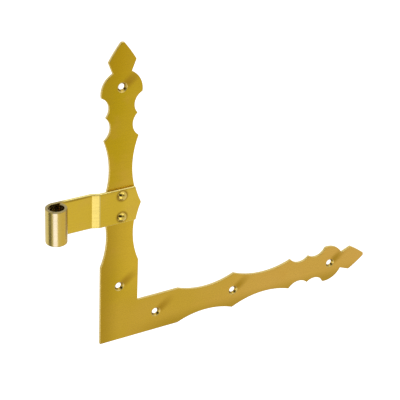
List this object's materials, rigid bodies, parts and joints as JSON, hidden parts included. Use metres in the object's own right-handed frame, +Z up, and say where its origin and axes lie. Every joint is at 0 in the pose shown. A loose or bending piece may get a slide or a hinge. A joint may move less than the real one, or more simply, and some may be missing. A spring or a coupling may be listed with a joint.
{
  "type": "window corner hinge",
  "caption": "Ornamental L-shaped corner plate with spear-ended legs and countersunk screw holes; a cranked strap riveted to its upright leg ends in a rolled eye for a pintle.",
  "frame": {"origin": "middle of the eye's bore, halfway up the strap", "axes": "+Z up the bore, +X along the strap towards the plate, the plate lies in the X-Z plane and its front faces -Y"},
  "size_m": [0.2587, 0.0142, 0.2181],
  "materials": {
    "plate": "yellow-passivated zinc plating, semi-gloss",
    "strap": "yellow-passivated zinc plating, semi-gloss",
    "rivet": "yellow-passivated zinc plating, semi-gloss"
  },
  "bodies": {
    "root": {"corner_plate": "plate", "hinge_strap": "strap", "upper_rivet": "rivet", "lower_rivet": "rivet"}
  },
  "joints": []
}
